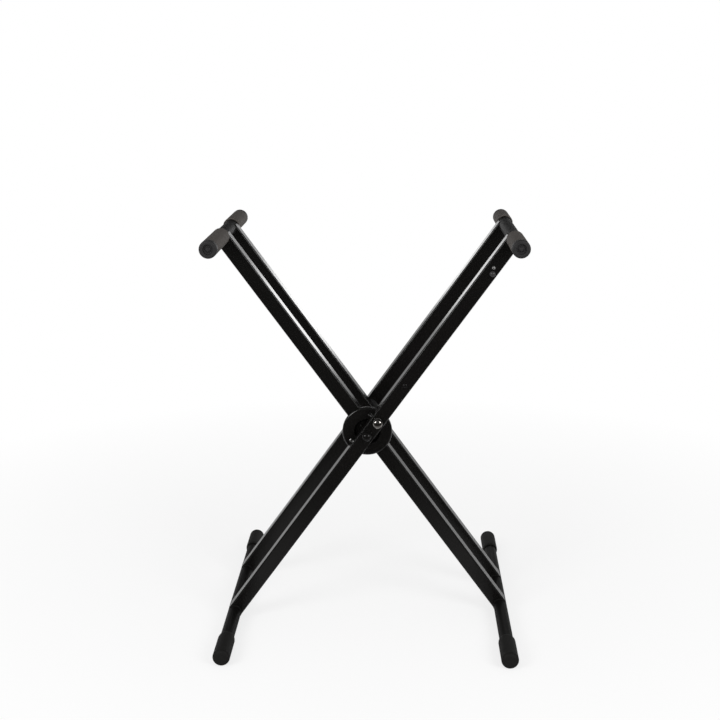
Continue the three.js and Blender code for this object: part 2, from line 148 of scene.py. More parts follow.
WHITE = (1, 1, 1, 1)
SURROUND_FILL = 0.5
ROOM_GLOW = 0.10
BACKDROP_TOP = math.sin(math.radians(5))
BACKDROP_FADE = math.sin(math.radians(17))
BACKDROP_SIDE = 0.35
surround = bpy.data.worlds.new("studio_surround")
scene.world = surround
sky = Finish(surround)
direction = sky.add("ShaderNodeTexCoord", {}, out="Generated")
rise = sky.add("ShaderNodeSeparateXYZ", {"Vector": direction}, out="Z")
behind = Value(sky, rise.socket.node.outputs["Y"])
low = sky.add("ShaderNodeMapRange", {
    "Value": rise, "From Min": BACKDROP_TOP, "From Max": BACKDROP_FADE, "To Min": 1.0, "To Max": 0.0})
at_back = sky.add("ShaderNodeMapRange", {
    "Value": behind, "From Min": 0.0, "From Max": BACKDROP_SIDE, "To Min": 0.0, "To Max": 1.0})
room = (low * at_back).most(ROOM_GLOW)
ray = sky.add("ShaderNodeLightPath", {}, out="Is Camera Ray")
mirrored, through = (Value(sky, ray.socket.node.outputs[name])
                     for name in ("Is Glossy Ray", "Is Transmission Ray"))
background = ray.most(through)
fill = (1 - background.most(mirrored)) * SURROUND_FILL
sky_light = sky.add("ShaderNodeBackground", {
    "Color": WHITE, "Strength": background + (1 - background) * mirrored * room + fill})
sky.add("ShaderNodeOutputWorld", {"Surface": sky_light})

FLOOR_HALF_SIDE = 30
FLOOR_COLOUR = (0.93, 0.93, 0.93, 1)
FLOOR_GLOW_NEAR = 0.75
FLOOR_GLOW_FROM = 0.5
FLOOR_GLOW_TO = 1.6
SET_FRONT_FROM = 0.1
SET_FRONT_TO = -0.85
UNLIT_FLOOR = (0.04, 0.038, 0.036, 1)
floor_mesh = bpy.data.meshes.new("floor")
shape = bmesh.new()
bmesh.ops.create_grid(shape, x_segments=2, y_segments=2, size=FLOOR_HALF_SIDE)
shape.to_mesh(floor_mesh)
shape.free()
floor = bpy.data.objects.new("floor", floor_mesh)
scene.collection.objects.link(floor)
floor_finish = Finish(bpy.data.materials.new("pale_floor"))
lit_floor = floor_finish.add("ShaderNodeBsdfDiffuse", {"Color": FLOOR_COLOUR})
glow = floor_finish.add("ShaderNodeEmission", {"Color": WHITE, "Strength": 1.0})
unlit = floor_finish.add("ShaderNodeBsdfDiffuse", {"Color": UNLIT_FLOOR})
camera_ray = floor_finish.add("ShaderNodeLightPath", {}, out="Is Camera Ray")
glossy_ray = Value(floor_finish, camera_ray.socket.node.outputs["Is Glossy Ray"])
floor_place = floor_finish.add("ShaderNodeTexCoord", {}, out="Object")
away = floor_finish.add("ShaderNodeVectorMath", {0: floor_place}, out="Value", operation="LENGTH")
glow_share = floor_finish.add("ShaderNodeMapRange", {
    "Value": away, "From Min": FLOOR_GLOW_FROM, "From Max": FLOOR_GLOW_TO,
    "To Min": FLOOR_GLOW_NEAR, "To Max": 1.0})
depth = floor_finish.add("ShaderNodeSeparateXYZ", {"Vector": floor_place}, out="Y")
off_set = floor_finish.add("ShaderNodeMapRange", {
    "Value": depth, "From Min": SET_FRONT_FROM, "From Max": SET_FRONT_TO})
seen_floor = floor_finish.add("ShaderNodeMixShader", {
    0: camera_ray * glow_share, 1: lit_floor, 2: glow})
floor_look = floor_finish.add("ShaderNodeMixShader", {
    0: glossy_ray * off_set, 1: seen_floor, 2: unlit})
floor_finish.add("ShaderNodeOutputMaterial", {"Surface": floor_look})
floor_mesh.materials.append(floor_finish.owner)

SOFT_BOXES = {  # place, what it faces, width, height, watts, whether it lights the room
    "left_box": ((-1.68, -1.69, 1.56), (0, 0, 0.45), 1.1, 1.1, 28, True),
    "right_box": ((1.68, -1.69, 1.56), (0, 0, 0.45), 1.1, 1.1, 28, True),
    "low_right_box": ((0.39, 2.2, 0.69), (0.1, 0, 0.62), 0.42, 0.42, 1.8, False),
    "low_left_box": ((-0.25, 2.2, 0.75), (0, 0, 0.68), 0.34, 0.34, 0.6, False),
}
for name, (place, aim, width, height, watts, fills) in SOFT_BOXES.items():
    lamp = bpy.data.lights.new(name, "AREA")
    lamp.shape = "RECTANGLE"
    lamp.size = width
    lamp.size_y = height
    lamp.energy = watts
    box = bpy.data.objects.new(name, lamp)
    box.matrix_world = Matrix.Translation(place) @ (
        Vector(aim) - Vector(place)).to_track_quat("-Z", "Y").to_matrix().to_4x4()
    box.visible_camera = False
    box.visible_diffuse = fills
    scene.collection.objects.link(box)


# ---- Square tubes -------------------------------------------------------------------------------
# Two pairs of cold-rolled square steel tube with rounded corners, powder coated gloss black.
# Each end is coped to a saddle and welded round the bar that it carries.
MM = 0.001
TILT = math.radians(35.75)
PIVOT = Vector((0, 0, 411.577)) * MM
TUBE_SIDE = 30 * MM
TUBE_CORNER = 3 * MM
TUBE_WALL = 2 * MM
TUBE_END_SHORT = 1.5 * MM
CORNER_SEGMENTS = 6
BORE_REACH = 0.6
HOLE_STEPS = 48
UPPER_REACH = 498 * MM
LOWER_REACH = 486 * MM
BAR_RADIUS = 14 * MM
SADDLE_GAP = 0.05 * MM
BOLT_BORE = 5.3
BOLT_HOLE = BOLT_BORE * MM
BUSH_HOLE = 8.3 * MM
LOCK_UP_LEG = 38.5 * MM
LOCK_HOLE = 6.2 * MM
OUTER, INNER = "outer_leg", "inner_leg"
LEGS = {"outer": OUTER, "inner": INNER}
LEG_TURN = {"outer": TILT, "inner": -TILT}
TO_Y = Matrix.Rotation(math.pi / 2, 3, "X")
SMOOTH_BELOW = math.radians(32)
BLACK_PAINT = (0.0048, 0.0045, 0.0042, 1)
PAINT_DUST = (0.012, 0.0115, 0.011, 1)
PAINT_ROUGHNESS = 0.16
TUBE_IOR = 1.36
BAR_IOR = 1.18
BAR_ROUGHNESS = 0.5
PAINT_PATCH_SCALE = 9
PAINT_SPECK_SCALE = 900
PAINT_SPECK_STOPS = ((0.60, 0), (0.72, 1))
PEEL_SCALE = 130
RIPPLE_SCALE = 30
RIPPLE_SHARE = 2
PEEL_STRENGTH = 0.04
PEEL_DEPTH = 0.2 * MM
DUST_SHARE = 0.7
DULL_PATCH = 0.10
DULL_SPECK = 0.05


def painted_steel(name, ior, roughness=PAINT_ROUGHNESS):
    """Gloss black powder coat: fine orange peel, dull patches and a trace of dust."""
    coat = Finish(bpy.data.materials.new(name))
    place = coat.add("ShaderNodeTexCoord", {}, out="Object")
    patches = coat.noise(place, PAINT_PATCH_SCALE, 4)
    specks = coat.add("ShaderNodeValToRGB", {"Fac": coat.noise(place, PAINT_SPECK_SCALE, 2)},
                      stops=PAINT_SPECK_STOPS)
    peel = coat.noise(place, PEEL_SCALE, 1)
    ripple = coat.noise(place, RIPPLE_SCALE, 1)
    colour = coat.blend(specks * patches * DUST_SHARE, BLACK_PAINT, PAINT_DUST)
    bump = coat.add("ShaderNodeBump", {
        "Height": peel + ripple * RIPPLE_SHARE, "Strength": PEEL_STRENGTH, "Distance": PEEL_DEPTH})
    steel = coat.add("ShaderNodeBsdfPrincipled", {
        "Base Color": colour, "IOR": ior, "Normal": bump,
        "Roughness": roughness + patches * DULL_PATCH + specks * DULL_SPECK})
    coat.add("ShaderNodeOutputMaterial", {"Surface": steel})
    return coat.owner


def keep(name, shape, finish, body, slot, *nodes):
    """A finished shape as a piece that rides on its leg and stands for its CAD nodes."""
    mesh = bpy.data.meshes.new(name)
    shape.to_mesh(mesh)
    shape.free()
    mesh.shade_smooth()
    mesh.set_sharp_from_angle(angle=SMOOTH_BELOW)
    mesh.materials.append(finish)
    piece = bpy.data.objects.new(name, mesh)
    scene.collection.objects.link(piece)
    weighted = piece.modifiers.new("even_shading", "WEIGHTED_NORMAL")
    weighted.keep_sharp = True
    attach(piece, body)
    if nodes:
        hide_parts(*nodes)
    return piece


def cut_away(shape, cutters):
    """A shape less each cutter, both closed."""
    for cutter in cutters:
        made = []
        for part in (shape, cutter):
            mesh = bpy.data.meshes.new("blank")
            part.to_mesh(mesh)
            part.free()
            thing = bpy.data.objects.new("blank", mesh)
            scene.collection.objects.link(thing)
            made.append(thing)
        blank, tool = made
        cutting = blank.modifiers.new("cut", "BOOLEAN")
        cutting.operation = "DIFFERENCE"
        cutting.solver = "EXACT"
        cutting.object = tool
        shape = bmesh.new()
        shape.from_object(blank, bpy.context.evaluated_depsgraph_get())
        for thing in made:
            mesh = thing.data
            bpy.data.objects.remove(thing)
            bpy.data.meshes.remove(mesh)
    return shape


def square_bar(side, corner, low, high):
    """A square bar along Z with rounded long edges."""
    shape = bmesh.new()
    bmesh.ops.create_cube(shape, size=1)
    bmesh.ops.scale(shape, vec=(side, side, high - low), verts=shape.verts)
    bmesh.ops.translate(shape, vec=(0, 0, (high + low) / 2), verts=shape.verts)
    long_edges = [e for e in shape.edges if abs(e.verts[0].co.z - e.verts[1].co.z) > side]
    bmesh.ops.bevel(shape, geom=long_edges, offset=corner, offset_type="OFFSET", affect="EDGES",
                    segments=CORNER_SEGMENTS, profile=0.5, material=-1)
    return shape


def drill(radius, depth, place, steps=HOLE_STEPS):
    """A round cutter along Y about a place, in metres."""
    shape = bmesh.new()
    bmesh.ops.create_cone(shape, cap_ends=True, segments=steps, radius1=radius, radius2=radius,
                          depth=depth)
    bmesh.ops.rotate(shape, cent=(0, 0, 0), matrix=TO_Y, verts=shape.verts)
    bmesh.ops.translate(shape, vec=place, verts=shape.verts)
    return shape


def on_leg(side, row):
    """From a tube's own upright frame, about its pivot hole, to its place on the leg."""
    low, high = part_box(f"{side}_{row}_tube")
    middle = Vector((PIVOT.x, (low[1] + high[1]) / 2, PIVOT.z))
    return Matrix.Translation(middle) @ Matrix.Rotation(LEG_TURN[side], 4, "Y")


tube_paint = painted_steel("gloss_black_tube", TUBE_IOR)
deep = 2 * TUBE_SIDE
for side, body in LEGS.items():
    for row in ("front", "rear"):
        node = f"{side}_{row}_tube"
        tube = square_bar(TUBE_SIDE, TUBE_CORNER, TUBE_END_SHORT - LOWER_REACH,
                          UPPER_REACH - TUBE_END_SHORT)
        bore = square_bar(TUBE_SIDE - 2 * TUBE_WALL, TUBE_CORNER - TUBE_WALL, -BORE_REACH, BORE_REACH)
        cutters = [
            bore,
            drill(BAR_RADIUS + SADDLE_GAP, deep, (0, 0, UPPER_REACH)),
            drill(BAR_RADIUS + SADDLE_GAP, deep, (0, 0, -LOWER_REACH)),
            drill(BOLT_HOLE if side == "outer" else BUSH_HOLE, deep, (0, 0, 0)),
        ]
        if node == "outer_front_tube":
            cutters.append(drill(LOCK_HOLE, deep, (0, 0, LOCK_UP_LEG)))
        tube = cut_away(tube, cutters)
        bmesh.ops.transform(tube, matrix=on_leg(side, row), verts=tube.verts)
        keep(f"{side}_{row}_square_tube", tube, tube_paint, body, "black_steel", node)


# ---- Support and base bars ----------------------------------------------------------------------
# Round steel tube, powder coated with the legs. The upper two carry the load.
# The lower two stand on the floor through their boots.
ROUND_STEPS = 72
BAR_WALL = 2
BAR_EDGE = 0.4
EDGE_SEGMENTS = 4
EDGE_ABOVE = math.radians(35)
SAME_PLACE = 1e-6


def reach(node):
    """A CAD node's front and rear, in millimetres."""
    low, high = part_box(node)
    return low[1] / MM, high[1] / MM


def axis_of(node):
    """The middle of a CAD node's box, seen from the front."""
    low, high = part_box(node)
    return (low[0] + high[0]) / 2, 0, (low[2] + high[2]) / 2


def turned(profile, node, soften, steps=ROUND_STEPS):
    """A piece turned about its CAD node's axis from (radius, y) points in millimetres."""
    shape = bmesh.new()
    points = [shape.verts.new((radius * MM, y * MM, 0)) for radius, y in profile]
    closed = profile[0][0] > 0 and profile[-1][0] > 0
    for first, second in zip(points, points[1:]):
        shape.edges.new((first, second))
    if closed:
        shape.edges.new((points[-1], points[0]))
    bmesh.ops.spin(shape, geom=shape.verts[:] + shape.edges[:], cent=(0, 0, 0), axis=(0, 1, 0),
                   angle=2 * math.pi, steps=steps, use_merge=True)
    bmesh.ops.remove_doubles(shape, verts=shape.verts, dist=SAME_PLACE)
    bmesh.ops.recalc_face_normals(shape, faces=shape.faces)
    sharp = [e for e in shape.edges if e.is_manifold and e.calc_face_angle(0) > EDGE_ABOVE]
    bmesh.ops.bevel(shape, geom=sharp, offset=soften * MM, offset_type="OFFSET", affect="EDGES",
                    segments=EDGE_SEGMENTS, profile=0.5, material=-1, clamp_overlap=True)
    bmesh.ops.translate(shape, vec=axis_of(node), verts=shape.verts)
    return shape


def ring(bore, radius, node, soften):
    """A plain ring or tube as long as its CAD node."""
    front, rear = reach(node)
    return turned([(bore, front), (radius, front), (radius, rear), (bore, rear)], node, soften)


bar_paint = painted_steel("satin_black_bar", BAR_IOR, BAR_ROUGHNESS)
for side, body in LEGS.items():
    for level in ("support", "base"):
        node = f"{side}_{level}_bar"
        bar = ring(BAR_RADIUS / MM - BAR_WALL, BAR_RADIUS / MM, node, BAR_EDGE)
        keep(f"{side}_{level}_round_bar", bar, bar_paint, body, "black_steel", node)


# ---- Weld beads ---------------------------------------------------------------------------------
# A bead of weld round the saddle of every tube, coated over with the same black powder.
# It follows the bar on the front and rear walls and runs straight along the two sides.
BEAD_RADIUS = 1.5 * MM
BEAD_ROUNDNESS = 2
BEAD_ARC_STEPS = 14
BEAD_ARC_REACH = math.radians(84)
BEAD_RIPPLE_SCALE = 420
BEAD_RIPPLE_STRENGTH = 0.5
BEAD_RIPPLE_DEPTH = 1.2 * MM
BEAD_PATCH_SCALE = 120
BEAD_DULL_PATCH = 0.15


def weld_finish():
    """Painted weld with its overlapping ripples."""
    coat = Finish(bpy.data.materials.new("painted_weld"))
    place = coat.add("ShaderNodeTexCoord", {}, out="Object")
    lumps = coat.noise(place, BEAD_RIPPLE_SCALE, 3)
    patches = coat.noise(place, BEAD_PATCH_SCALE, 2)
    bump = coat.add("ShaderNodeBump", {
        "Height": lumps, "Strength": BEAD_RIPPLE_STRENGTH, "Distance": BEAD_RIPPLE_DEPTH})
    steel = coat.add("ShaderNodeBsdfPrincipled", {
        "Base Color": coat.blend(patches, BLACK_PAINT, PAINT_DUST),
        "Roughness": BAR_ROUGHNESS + patches * BEAD_DULL_PATCH, "IOR": BAR_IOR, "Normal": bump})
    coat.add("ShaderNodeOutputMaterial", {"Surface": steel})
    return coat.owner


def saddle_line(along, inward):
    """The line round a tube's end: an arc over the bar on each wall, joined along the sides."""
    line = []
    for wall in (-1, 1):
        for step in range(BEAD_ARC_STEPS + 1):
            turn = wall * BEAD_ARC_REACH * (2 * step / BEAD_ARC_STEPS - 1)
            line.append((BAR_RADIUS * math.sin(turn), wall * TUBE_SIDE / 2,
                         along + inward * BAR_RADIUS * math.cos(turn)))
    return line


def bead_along(line):
    """A closed round bead along a line."""
    curve = bpy.data.curves.new("bead", "CURVE")
    curve.dimensions = "3D"
    curve.bevel_depth = BEAD_RADIUS
    curve.bevel_resolution = BEAD_ROUNDNESS
    spline = curve.splines.new("POLY")
    spline.points.add(len(line) - 1)
    for point, spot in zip(spline.points, line):
        point.co = (*spot, 1)
    spline.use_cyclic_u = True
    thread = bpy.data.objects.new("bead", curve)
    scene.collection.objects.link(thread)
    shape = bmesh.new()
    shape.from_mesh(thread.to_mesh())
    bpy.data.objects.remove(thread)
    bpy.data.curves.remove(curve)
    bmesh.ops.remove_doubles(shape, verts=shape.verts, dist=SAME_PLACE)
    bmesh.ops.recalc_face_normals(shape, faces=shape.faces)
    return shape


weld = weld_finish()
for side, body in LEGS.items():
    for row in ("front", "rear"):
        for level, along, inward in (("top", UPPER_REACH, -1), ("foot", -LOWER_REACH, 1)):
            bead = bead_along(saddle_line(along, inward))
            bmesh.ops.transform(bead, matrix=on_leg(side, row), verts=bead.verts)
            keep(f"{side}_{row}_{level}_weld", bead, weld, body, "black_steel")


# ---- Sleeves and end caps -----------------------------------------------------------------------
# Soft moulded sleeves that keep the load from sliding, and a dark grey cap on each bar end.
# Both are pushed over the bar; a cap has a rounded nose and a dished end with a nub in it.
SLEEVE_RADIUS = 17.35
SLEEVE_BORE = 14.3
SLEEVE_EDGE = 0.8
CAP_RADIUS = 17.35
CAP_LENGTH = 14
CAP_FLOOR = 5
CAP_NOSE = 3.5
CAP_EDGE = 0.35
CAP_DISH_RADIUS = 10
CAP_DISH_FLOOR_RADIUS = 8.8
CAP_DISH_DEPTH = 4
CAP_NUB_RADIUS = 3
CAP_NUB_HEIGHT = 3
NOSE_STEPS = 8
CAP_COLOUR = (0.0165, 0.0159, 0.0165, 1)
CAP_PALE = (0.024, 0.0231, 0.024, 1)
SLEEVE_COLOUR = (0.070, 0.062, 0.056, 1)
SLEEVE_PALE = (0.090, 0.080, 0.072, 1)
GRAIN_DEPTH = 0.3 * MM
GRAIN_BREAKUP = 0.6
RUBBER_PATCH_SCALE = 35
SCUFF_SCALE = 150
SCUFF_BREAKUP = 0.7
SCUFF_STOPS = ((0.56, 0), (0.72, 1))
SCUFF_SHARE = 0.25
PATCH_SHARE = 0.3
PATCH_DULL = 0.12
SCUFF_POLISH = 0.06


def soft_rubber(name, colour, pale, grain_scale, grain, roughness, ior):
    """Moulded rubber: fine leathery grain, paler scuffs and patches where hands have been."""
    skin = Finish(bpy.data.materials.new(name))
    place = skin.add("ShaderNodeTexCoord", {}, out="Object")
    grains = skin.noise(place, grain_scale, 3, GRAIN_BREAKUP)
    patches = skin.noise(place, RUBBER_PATCH_SCALE, 3)
    scuffs = skin.add("ShaderNodeValToRGB", {
        "Fac": skin.noise(place, SCUFF_SCALE, 5, SCUFF_BREAKUP)}, stops=SCUFF_STOPS)
    bump = skin.add("ShaderNodeBump", {"Height": grains, "Strength": grain, "Distance": GRAIN_DEPTH})
    rubber = skin.add("ShaderNodeBsdfPrincipled", {
        "Base Color": skin.blend(scuffs * SCUFF_SHARE + patches * PATCH_SHARE, colour, pale),
        "Roughness": roughness + patches * PATCH_DULL - scuffs * SCUFF_POLISH,
        "IOR": ior, "Normal": bump})
    skin.add("ShaderNodeOutputMaterial", {"Surface": rubber})
    return skin.owner


def tip_of(node, end):
    """Where a CAD node at a bar's end stops, in millimetres."""
    return reach(node)[0 if end == "front" else 1]


def quarter(steps):
    """The angles of a quarter turn."""
    return [math.pi / 2 * step / steps for step in range(steps + 1)]


def nose(radius, size, tip, towards):
    """Quarter-round points from a flat tip to the full radius."""
    return [(radius - size + size * math.sin(turn), tip + towards * size * (1 - math.cos(turn)))
            for turn in quarter(NOSE_STEPS)]


cap_rubber = soft_rubber("dark_grey_cap", CAP_COLOUR, CAP_PALE,
                         grain_scale=500, grain=0.35, roughness=0.5, ior=1.4)
sleeve_rubber = soft_rubber("grey_brown_sleeve", SLEEVE_COLOUR, SLEEVE_PALE,
                            grain_scale=500, grain=0.3, roughness=0.72, ior=1.35)
for side, body in LEGS.items():
    for end, towards in (("front", 1), ("rear", -1)):
        node = f"{side}_support_{end}_cap"
        tip = tip_of(node, end)
        mouth = tip + towards * CAP_LENGTH
        socket = tip + towards * CAP_FLOOR
        dish = tip + towards * CAP_DISH_DEPTH
        nub = dish - towards * CAP_NUB_HEIGHT
        profile = [
            (0, nub),
            (CAP_NUB_RADIUS, nub),
            (CAP_NUB_RADIUS + CAP_NUB_HEIGHT, dish),
            (CAP_DISH_FLOOR_RADIUS, dish),
            (CAP_DISH_RADIUS, tip),
            *nose(CAP_RADIUS, CAP_NOSE, tip, towards),
            (CAP_RADIUS, mouth),
            (SLEEVE_BORE, mouth),
            (SLEEVE_BORE, socket),
            (0, socket),
        ]
        cap = turned(profile, node, CAP_EDGE)
        keep(f"{side}_{end}_end_cap", cap, cap_rubber, body, "cap_rubber", node)
        node = f"{side}_support_{end}_sleeve"
        sleeve = ring(SLEEVE_BORE, SLEEVE_RADIUS, node, SLEEVE_EDGE)
        keep(f"{side}_{end}_sleeve", sleeve, sleeve_rubber, body, "sleeve_rubber", node)


# ---- Boots --------------------------------------------------------------------------------------
# Long moulded rubber boots on the base bars. The outside is drawn in at the mouth.
# Each one is pressed slightly flat where it stands on the floor.
BOOT_RADIUS = 17.3
BOOT_LENGTH = 84
BOOT_FLOOR = 6
BOOT_NOSE = 7.5
BOOT_SHOULDER = 7
BOOT_DRAW = 0.4
BOOT_LIP = 1.9
BOOT_EDGE = 0.3
BOOT_COLOUR = (0.0078, 0.0076, 0.0070, 1)
BOOT_PALE = (0.013, 0.0127, 0.0118, 1)
ON_FLOOR = 1e-7

boot_rubber = soft_rubber("black_boot", BOOT_COLOUR, BOOT_PALE,
                          grain_scale=420, grain=0.5, roughness=0.62, ior=1.25)
for side, body in LEGS.items():
    for end, towards in (("front", 1), ("rear", -1)):
        node = f"{side}_base_{end}_boot"
        tip = tip_of(node, end)
        mouth = tip + towards * BOOT_LENGTH
        shoulder = mouth - towards * BOOT_SHOULDER
        socket = tip + towards * BOOT_FLOOR
        profile = [
            (0, tip),
            *nose(BOOT_RADIUS, BOOT_NOSE, tip, towards),
            (BOOT_RADIUS, shoulder),
            (BOOT_RADIUS - BOOT_DRAW, (mouth + shoulder) / 2),
            (SLEEVE_BORE + BOOT_LIP, mouth),
            (SLEEVE_BORE, mouth),
            (SLEEVE_BORE, socket),
            (0, socket),
        ]
        boot = turned(profile, node, BOOT_EDGE)
        cut = bmesh.ops.bisect_plane(
            boot, geom=boot.verts[:] + boot.edges[:] + boot.faces[:], dist=ON_FLOOR,
            plane_co=(0, 0, 0), plane_no=(0, 0, -1), clear_outer=True)
        rim = [e for e in cut["geom_cut"] if isinstance(e, bmesh.types.BMEdge)]
        bmesh.ops.holes_fill(boot, edges=rim)
        keep(f"{side}_{end}_boot", boot, boot_rubber, body, "boot_rubber", node)


# ---- Index disc ---------------------------------------------------------------------------------
# A pressed steel disc fixed to the front tube of the inner leg, with a sunk well at the pivot,
# index holes round its flange and a skirt turned back round its edge; three rivets hold it.
DISC_RADIUS = 51.5
DISC_BORE = 8
DISC_PLATE = 3
DISC_STAND_OFF = 0.3
DISC_WELL_RADIUS = 27
DISC_WELL_SLOPE = 3
DISC_RIM_ROUND = 4
DISC_SKIRT_SHORT = 1.2
DISC_EDGE = 0.7
DISC_STEPS = 96
DISC_IOR = 1.45
DISC_ROUGHNESS = 0.14
INDEX_CIRCLE = 38.5
INDEX_HOLE = 4
INDEX_HOLE_STEPS = 32
INDEX_DRILL_DEPTH = 30
INDEX_STEP = math.radians(26.8)
INDEX_STEPS = (-1, 0, 1)

disc_front = reach("index_disc")[0]
disc_seat = reach("inner_front_tube")[0] - DISC_STAND_OFF
well_front = disc_seat - DISC_PLATE
well_edge = DISC_WELL_RADIUS - DISC_WELL_SLOPE
skirt_end = disc_seat - DISC_SKIRT_SHORT
disc_profile = [
    (DISC_BORE, disc_seat),
    (DISC_BORE, well_front),
    (well_edge, well_front),
    (DISC_WELL_RADIUS, disc_front),
    *nose(DISC_RADIUS, DISC_RIM_ROUND, disc_front, 1),
    (DISC_RADIUS, skirt_end),
    (DISC_RADIUS - DISC_PLATE, skirt_end),
    (DISC_RADIUS - DISC_PLATE, disc_front + DISC_PLATE),
    (DISC_WELL_RADIUS + DISC_PLATE, disc_front + DISC_PLATE),
    (well_edge + DISC_PLATE, disc_seat),
]
holes = []
for step in INDEX_STEPS:
    turn = TILT - step * INDEX_STEP
    spot = Vector((math.sin(turn) * INDEX_CIRCLE, disc_front, math.cos(turn) * INDEX_CIRCLE)) * MM
    spot.z += PIVOT.z
    holes.append(drill(INDEX_HOLE * MM, INDEX_DRILL_DEPTH * MM, spot, INDEX_HOLE_STEPS))
disc = cut_away(turned(disc_profile, "index_disc", DISC_EDGE, DISC_STEPS), holes)
disc_paint = painted_steel("gloss_black_disc", DISC_IOR, DISC_ROUGHNESS)
keep("dished_index_disc", disc, disc_paint, INNER, "black_steel", "index_disc")


# ---- Domed heads --------------------------------------------------------------------------------
# The pivot bolt, the disc's rivets, the tube screw, the anchor rivet and its button all show a
# low dome over a shank. The bolt clamps its washers, spacers and lock nut.
DOME_STEPS = 12
WASHER_RADIUS = 13
WASHER_EDGE = 0.35
MARK_SCALE = 260
BRUSH_SCALE = 1500
BRUSH_DEPTH = 0.2 * MM
WORN_SHARE = 0.8
MARK_DULL = 0.08
ZINC = (0.40, 0.40, 0.39, 1)
RIVET_CHROME = (0.75, 0.74, 0.73, 1)
BUTTON_COLOUR = (0.030, 0.029, 0.029, 1)
BUTTON_PALE = (0.042, 0.041, 0.041, 1)
FITTING_IOR = 1.3
FITTING_ROUGHNESS = 0.12


def dome(radius, height, rim, steps):
    """Points of a dome from its crown at the front to its rim."""
    return [(radius * math.sin(turn), rim - height * math.cos(turn)) for turn in quarter(steps)]


def domed(node, radius, height, shank, soften, steps):
    """A domed head facing the front, over a shank that reaches back as far as its CAD node."""
    front, rear = reach(node)
    rim = front + height
    head = dome(radius, height, rim, DOME_STEPS)
    return turned([*head, (shank, rim), (shank, rear), (0, rear)], node, soften, steps)


def bare_metal(name, colour, roughness, brushed):
    """Plated steel: faint brushing and dull finger marks."""
    metal = Finish(bpy.data.materials.new(name))
    place = metal.add("ShaderNodeTexCoord", {}, out="Object")
    marks = metal.noise(place, MARK_SCALE, 3)
    lines = metal.noise(place, BRUSH_SCALE, 2)
    bump = metal.add("ShaderNodeBump", {"Height": lines, "Strength": brushed, "Distance": BRUSH_DEPTH})
    worn = tuple(WORN_SHARE * part for part in colour[:3]) + (1,)
    steel = metal.add("ShaderNodeBsdfPrincipled", {
        "Base Color": metal.blend(marks, colour, worn), "Metallic": 1.0,
        "Roughness": roughness + marks * MARK_DULL, "Normal": bump})
    metal.add("ShaderNodeOutputMaterial", {"Surface": steel})
    return metal.owner


fitting_paint = painted_steel("gloss_black_fitting", FITTING_IOR, FITTING_ROUGHNESS)
zinc = bare_metal("zinc_plate", ZINC, roughness=0.28, brushed=0.10)
dull_zinc = bare_metal("dull_zinc_plate", ZINC, roughness=0.50, brushed=0.10)
rim_chrome = bare_metal("chrome_rivet", RIVET_CHROME, roughness=0.22, brushed=0.04)
button_plastic = soft_rubber("grey_button_plastic", BUTTON_COLOUR, BUTTON_PALE,
                             grain_scale=500, grain=0.2, roughness=0.3, ior=1.45)
DOMES = {  # piece: CAD node, dome's radius and height, shank, softened edge, steps, finish, body, slot
    "pivot_bolt_domed": ("pivot_bolt", 10, 8.5, 5, 0.2, 72, fitting_paint, OUTER, "black_steel"),
    "disc_well_rivet_1": ("well_rivet_1", 3, 1.6, 1.5, 0.1, 36, fitting_paint, INNER, "black_steel"),
    "disc_well_rivet_2": ("well_rivet_2", 3, 1.6, 1.5, 0.1, 36, fitting_paint, INNER, "black_steel"),
    "disc_rim_rivet": ("rim_rivet", 3.4, 1.2, 1.7, 0.1, 36, rim_chrome, INNER, "chrome"),
    "black_tube_screw": ("tube_screw", 5, 3, 2.5, 0.15, 48, fitting_paint, OUTER, "black_steel"),
    "zinc_anchor_rivet": ("anchor_rivet", 3.8, 2.6, 1.8, 0.1, 40, dull_zinc, OUTER, "zinc_steel"),
    "grey_anchor_button": ("anchor_button", 6.2, 5, 2.2, 0.2, 48, button_plastic, OUTER, "cap_rubber"),
}
for piece, (node, radius, height, shank, soften, steps, finish, body, slot) in DOMES.items():
    keep(piece, domed(node, radius, height, shank, soften, steps), finish, body, slot, node)
for node in ("pivot_front_washer", "pivot_rear_washer"):
    washer = ring(BOLT_BORE, WASHER_RADIUS, node, WASHER_EDGE)
    keep(f"{node}_plate", washer, fitting_paint, OUTER, "black_steel", node)


# ---- Spacers and bushes -------------------------------------------------------------------------
# Black nylon rings that part the tubes and carry the bolt, and the steel tube between them.
# They take the side load of the legs, so their faces are polished by use.
RING_EDGE = 0.4
NYLON = (0.013, 0.013, 0.013, 1)
NYLON_PALE = (0.024, 0.024, 0.024, 1)
NYLON_ROUGHNESS = 0.42
NYLON_IOR = 1.4
MOTTLE_SCALE = 300
MOTTLE_STRENGTH = 0.12
MOTTLE_DEPTH = 0.4 * MM
MOTTLE_DULL = 0.15


def nylon_finish():
    """Moulded nylon: slightly mottled, with a satin face."""
    skin = Finish(bpy.data.materials.new("black_nylon"))
    place = skin.add("ShaderNodeTexCoord", {}, out="Object")
    mottle = skin.noise(place, MOTTLE_SCALE, 3)
    bump = skin.add("ShaderNodeBump", {
        "Height": mottle, "Strength": MOTTLE_STRENGTH, "Distance": MOTTLE_DEPTH})
    plastic = skin.add("ShaderNodeBsdfPrincipled", {
        "Base Color": skin.blend(mottle, NYLON, NYLON_PALE), "IOR": NYLON_IOR,
        "Roughness": NYLON_ROUGHNESS + mottle * MOTTLE_DULL, "Normal": bump})
    skin.add("ShaderNodeOutputMaterial", {"Surface": plastic})
    return skin.owner


